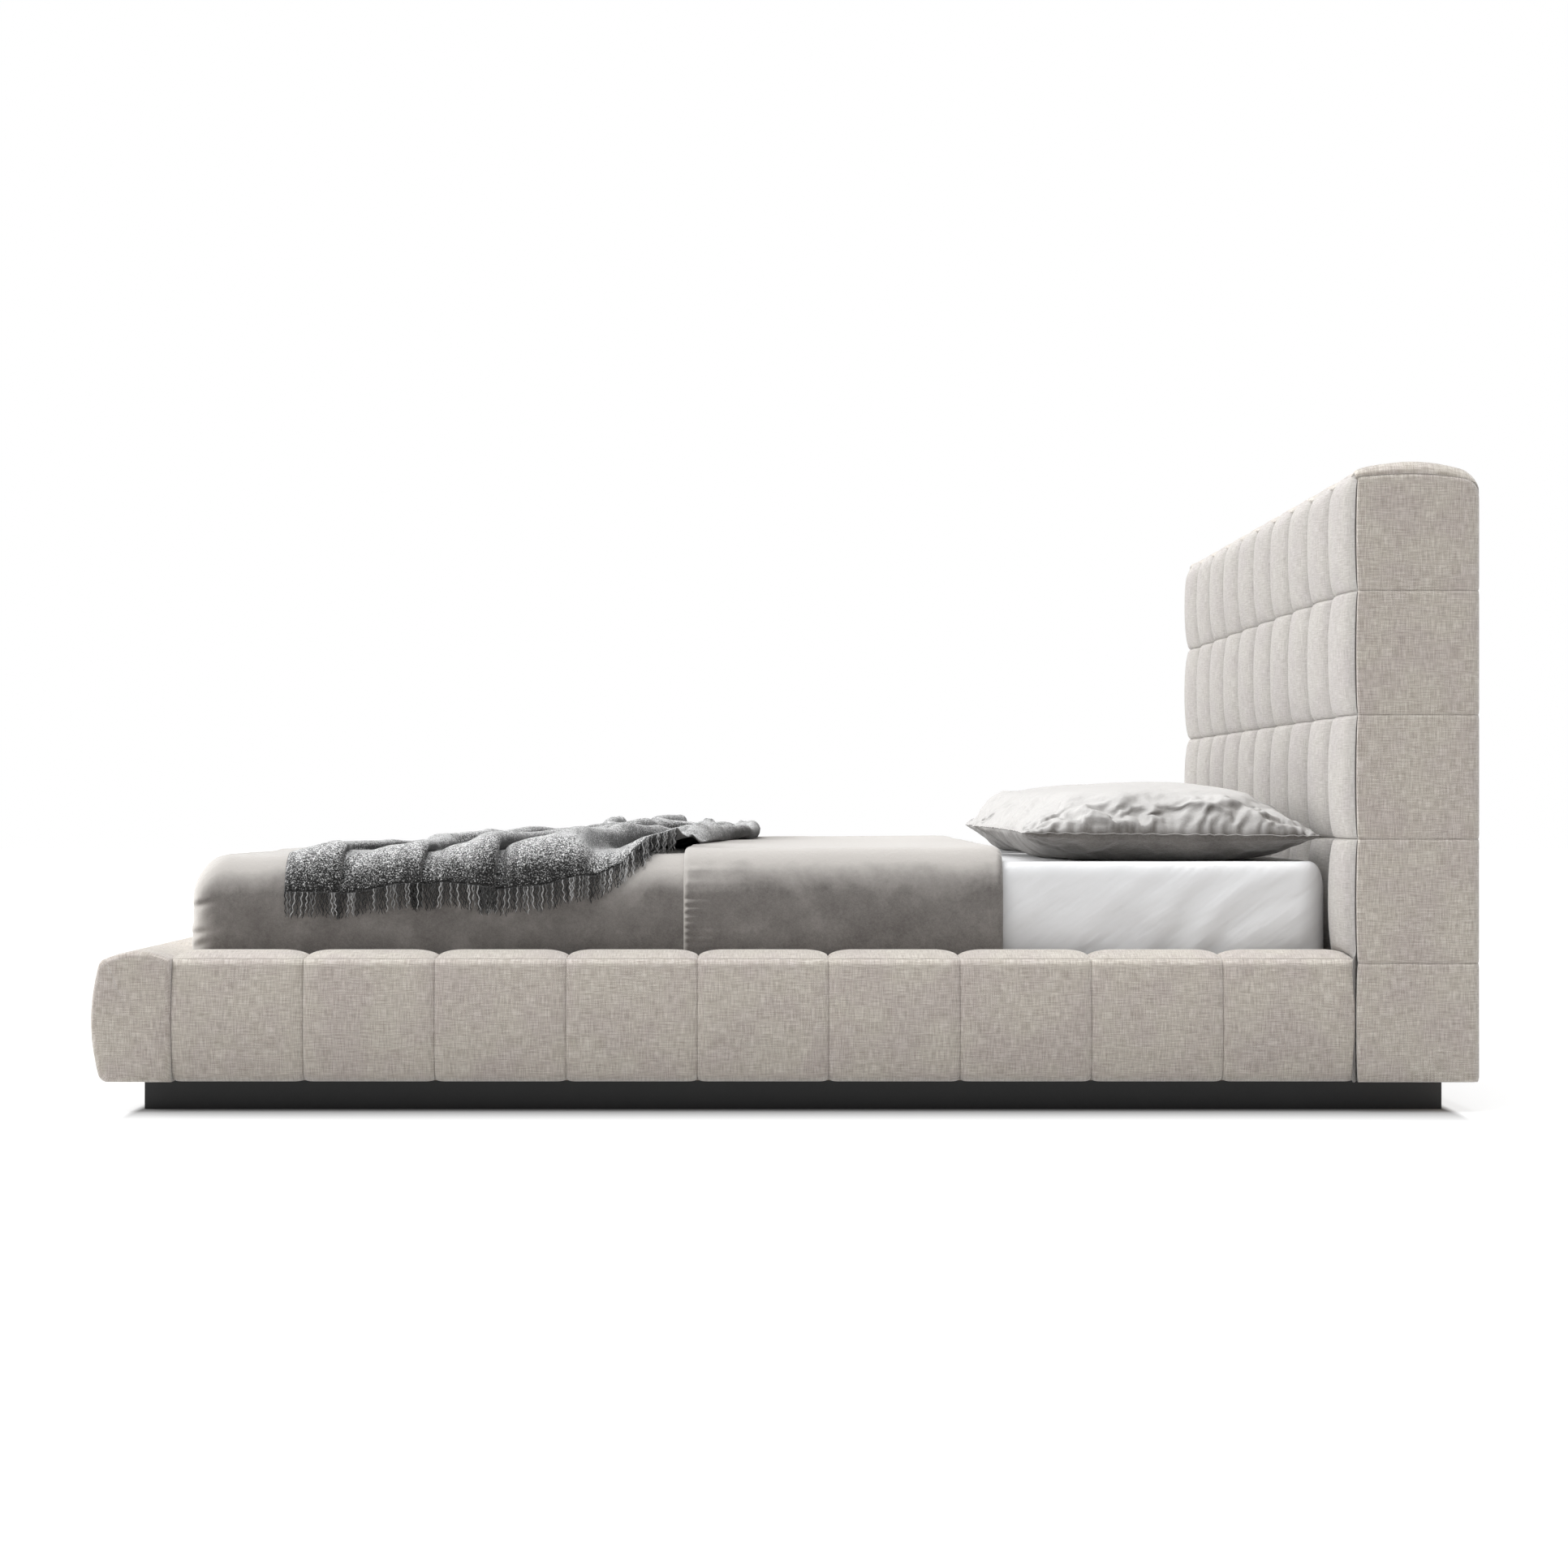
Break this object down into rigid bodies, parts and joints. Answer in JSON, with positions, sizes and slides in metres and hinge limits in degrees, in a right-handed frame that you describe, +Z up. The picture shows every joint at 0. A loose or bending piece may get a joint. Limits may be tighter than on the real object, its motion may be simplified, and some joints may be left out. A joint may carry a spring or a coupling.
{
  "type": "upholstered platform bed with padded block headboard",
  "caption": "Low king-size platform bed upholstered in padded linen blocks, with a tall block headboard, recessed black plinth, slatted base, mattress, duvet, pillows and throw.",
  "frame": {"origin": "on the floor, under the centre of the whole bed's box", "axes": "+Z up; +X along the bed from the foot to the headboard; +Y across the bed, to the right of someone who lies on it on their back"},
  "size_m": [2.411, 2.28, 1.137],
  "materials": {
    "linen": "matte",
    "back_cloth": "matte",
    "plinth_black": "matte",
    "plywood": "matte",
    "softwood": "matte",
    "beech": "satin",
    "black_plastic": "matte",
    "foot_plastic": "matte",
    "black_steel": "satin",
    "zinc_steel": "satin",
    "foam": "matte",
    "spring_pockets": "matte",
    "mattress_ticking": "matte",
    "white_cotton": "matte",
    "taupe_velvet": "matte",
    "pillow_velvet": "matte",
    "charcoal_wool": "matte"
  },
  "bodies": {
    "frame": {"plinth_left": "plinth_black", "plinth_right": "plinth_black", "plinth_foot": "plinth_black", "plinth_head": "plinth_black", "plinth_corner_blocks": "softwood", "left_rail_inner_board": "plywood", "left_rail_outer_board": "plywood", "left_rail_top_board": "plywood", "left_rail_spacers": "softwood", "left_rail_pad": "linen", "right_rail_inner_board": "plywood", "right_rail_outer_board": "plywood", "right_rail_top_board": "plywood", "right_rail_spacers": "softwood", "right_rail_pad": "linen", "foot_rail_inner_board": "plywood", "foot_rail_outer_board": "plywood", "foot_rail_top_board": "plywood", "foot_rail_spacers": "softwood", "foot_rail_pad": "linen", "headboard_front_board": "plywood", "headboard_back_panel": "back_cloth", "headboard_left_rib": "plywood", "headboard_right_rib": "plywood", "headboard_inner_ribs": "plywood", "headboard_top_board": "plywood", "headboard_bottom_board": "plywood", "headboard_front_pad": "linen", "headboard_left_pad": "linen", "headboard_right_pad": "linen", "headboard_top_pad": "linen", "left_slat_ledger": "softwood", "right_slat_ledger": "softwood", "ledger_screws": "zinc_steel", "centre_beam": "black_steel", "beam_hangers": "zinc_steel", "centre_leg_foot": "black_steel", "centre_leg_middle": "black_steel", "centre_leg_head": "black_steel", "leg_screws": "zinc_steel", "left_slats": "beech", "right_slats": "beech", "slat_end_caps": "black_plastic", "slat_centre_caps": "black_plastic", "corner_brackets": "zinc_steel", "frame_bolts": "zinc_steel"},
    "mattress": {"mattress_base_foam": "foam", "mattress_spring_unit": "spring_pockets", "mattress_top_foam": "foam", "mattress_cover": "mattress_ticking", "fitted_sheet": "white_cotton"},
    "duvet": {"duvet": "taupe_velvet"},
    "throw": {"throw_blanket": "charcoal_wool"},
    "pillow_left": {"pillow_left": "pillow_velvet"},
    "pillow_right": {"pillow_right": "pillow_velvet"},
    "levelling_foot_foot": {"levelling_foot_foot": "foot_plastic"},
    "levelling_foot_middle": {"levelling_foot_middle": "foot_plastic"},
    "levelling_foot_head": {"levelling_foot_head": "foot_plastic"}
  },
  "joints": [
    {"name": "mattress_lift", "type": "slide", "parent": "frame", "child": "mattress", "axis": [0, 0, 1], "range_m": [0, 0.3]},
    {"name": "duvet_lift", "type": "slide", "parent": "mattress", "child": "duvet", "axis": [0, 0, 1], "range_m": [0, 0.3]},
    {"name": "throw_lift", "type": "slide", "parent": "duvet", "child": "throw", "axis": [0, 0, 1], "range_m": [0, 0.25]},
    {"name": "pillow_left_lift", "type": "slide", "parent": "mattress", "child": "pillow_left", "axis": [0, 0, 1], "range_m": [0, 0.25]},
    {"name": "pillow_right_lift", "type": "slide", "parent": "mattress", "child": "pillow_right", "axis": [0, 0, 1], "range_m": [0, 0.25]},
    {"name": "levelling_foot_foot_screw", "type": "slide", "parent": "frame", "child": "levelling_foot_foot", "axis": [0, 0, 1], "range_m": [0, 0.015]},
    {"name": "levelling_foot_middle_screw", "type": "slide", "parent": "frame", "child": "levelling_foot_middle", "axis": [0, 0, 1], "range_m": [0, 0.015]},
    {"name": "levelling_foot_head_screw", "type": "slide", "parent": "frame", "child": "levelling_foot_head", "axis": [0, 0, 1], "range_m": [0, 0.015]}
  ]
}
